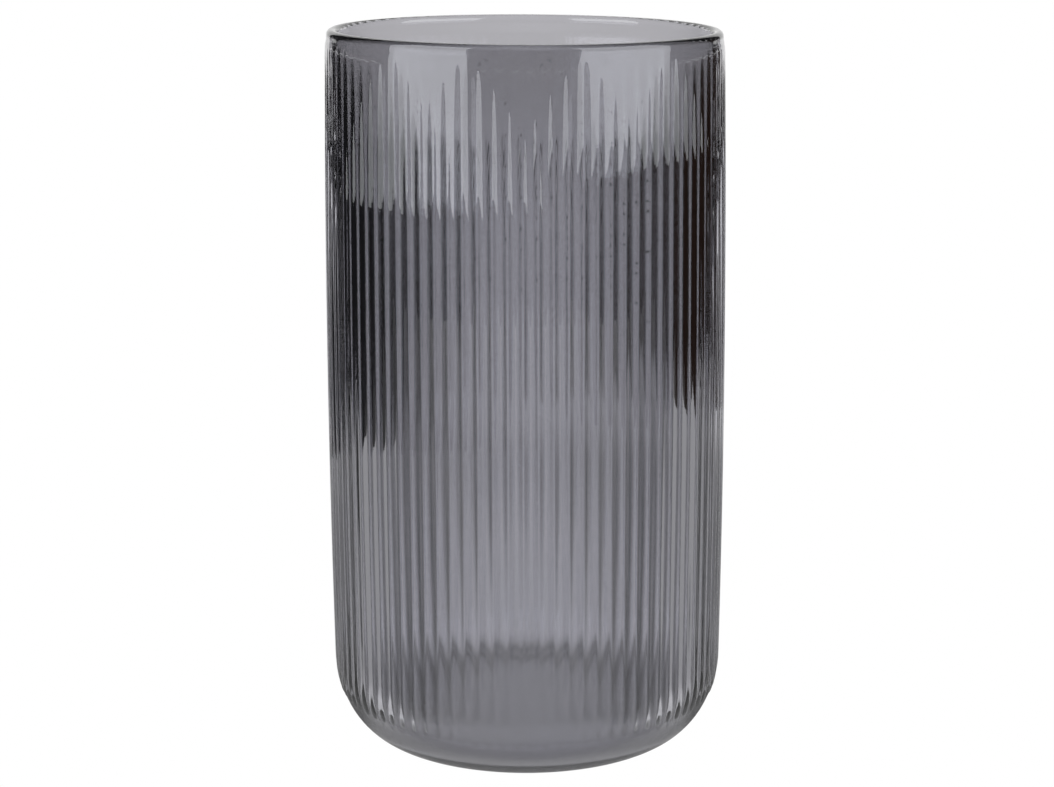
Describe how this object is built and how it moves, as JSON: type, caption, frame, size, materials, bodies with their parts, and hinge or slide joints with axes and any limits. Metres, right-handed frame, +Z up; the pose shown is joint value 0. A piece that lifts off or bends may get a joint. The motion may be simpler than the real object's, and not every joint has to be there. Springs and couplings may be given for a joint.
{
  "type": "ribbed glass cylinder vase",
  "caption": "Tall upright cylinder vase in smoked grey glass, with fine vertical ribs outside, a smooth rounded lip and base, and an open mouth for water and cut stems.",
  "frame": {"origin": "centre of the flat underside, on the surface that the vase stands on", "axes": "+Z up along the vase's axis, out of the mouth; +X and +Y lie along any two crossed diameters, because the vase is round"},
  "size_m": [0.1392, 0.1392, 0.2476],
  "materials": {
    "smoked_glass": "smoky grey transparent glass, glossy, fire-polished lip"
  },
  "bodies": {
    "root": {"ribbed_glass_vase": "smoked_glass"}
  },
  "joints": []
}
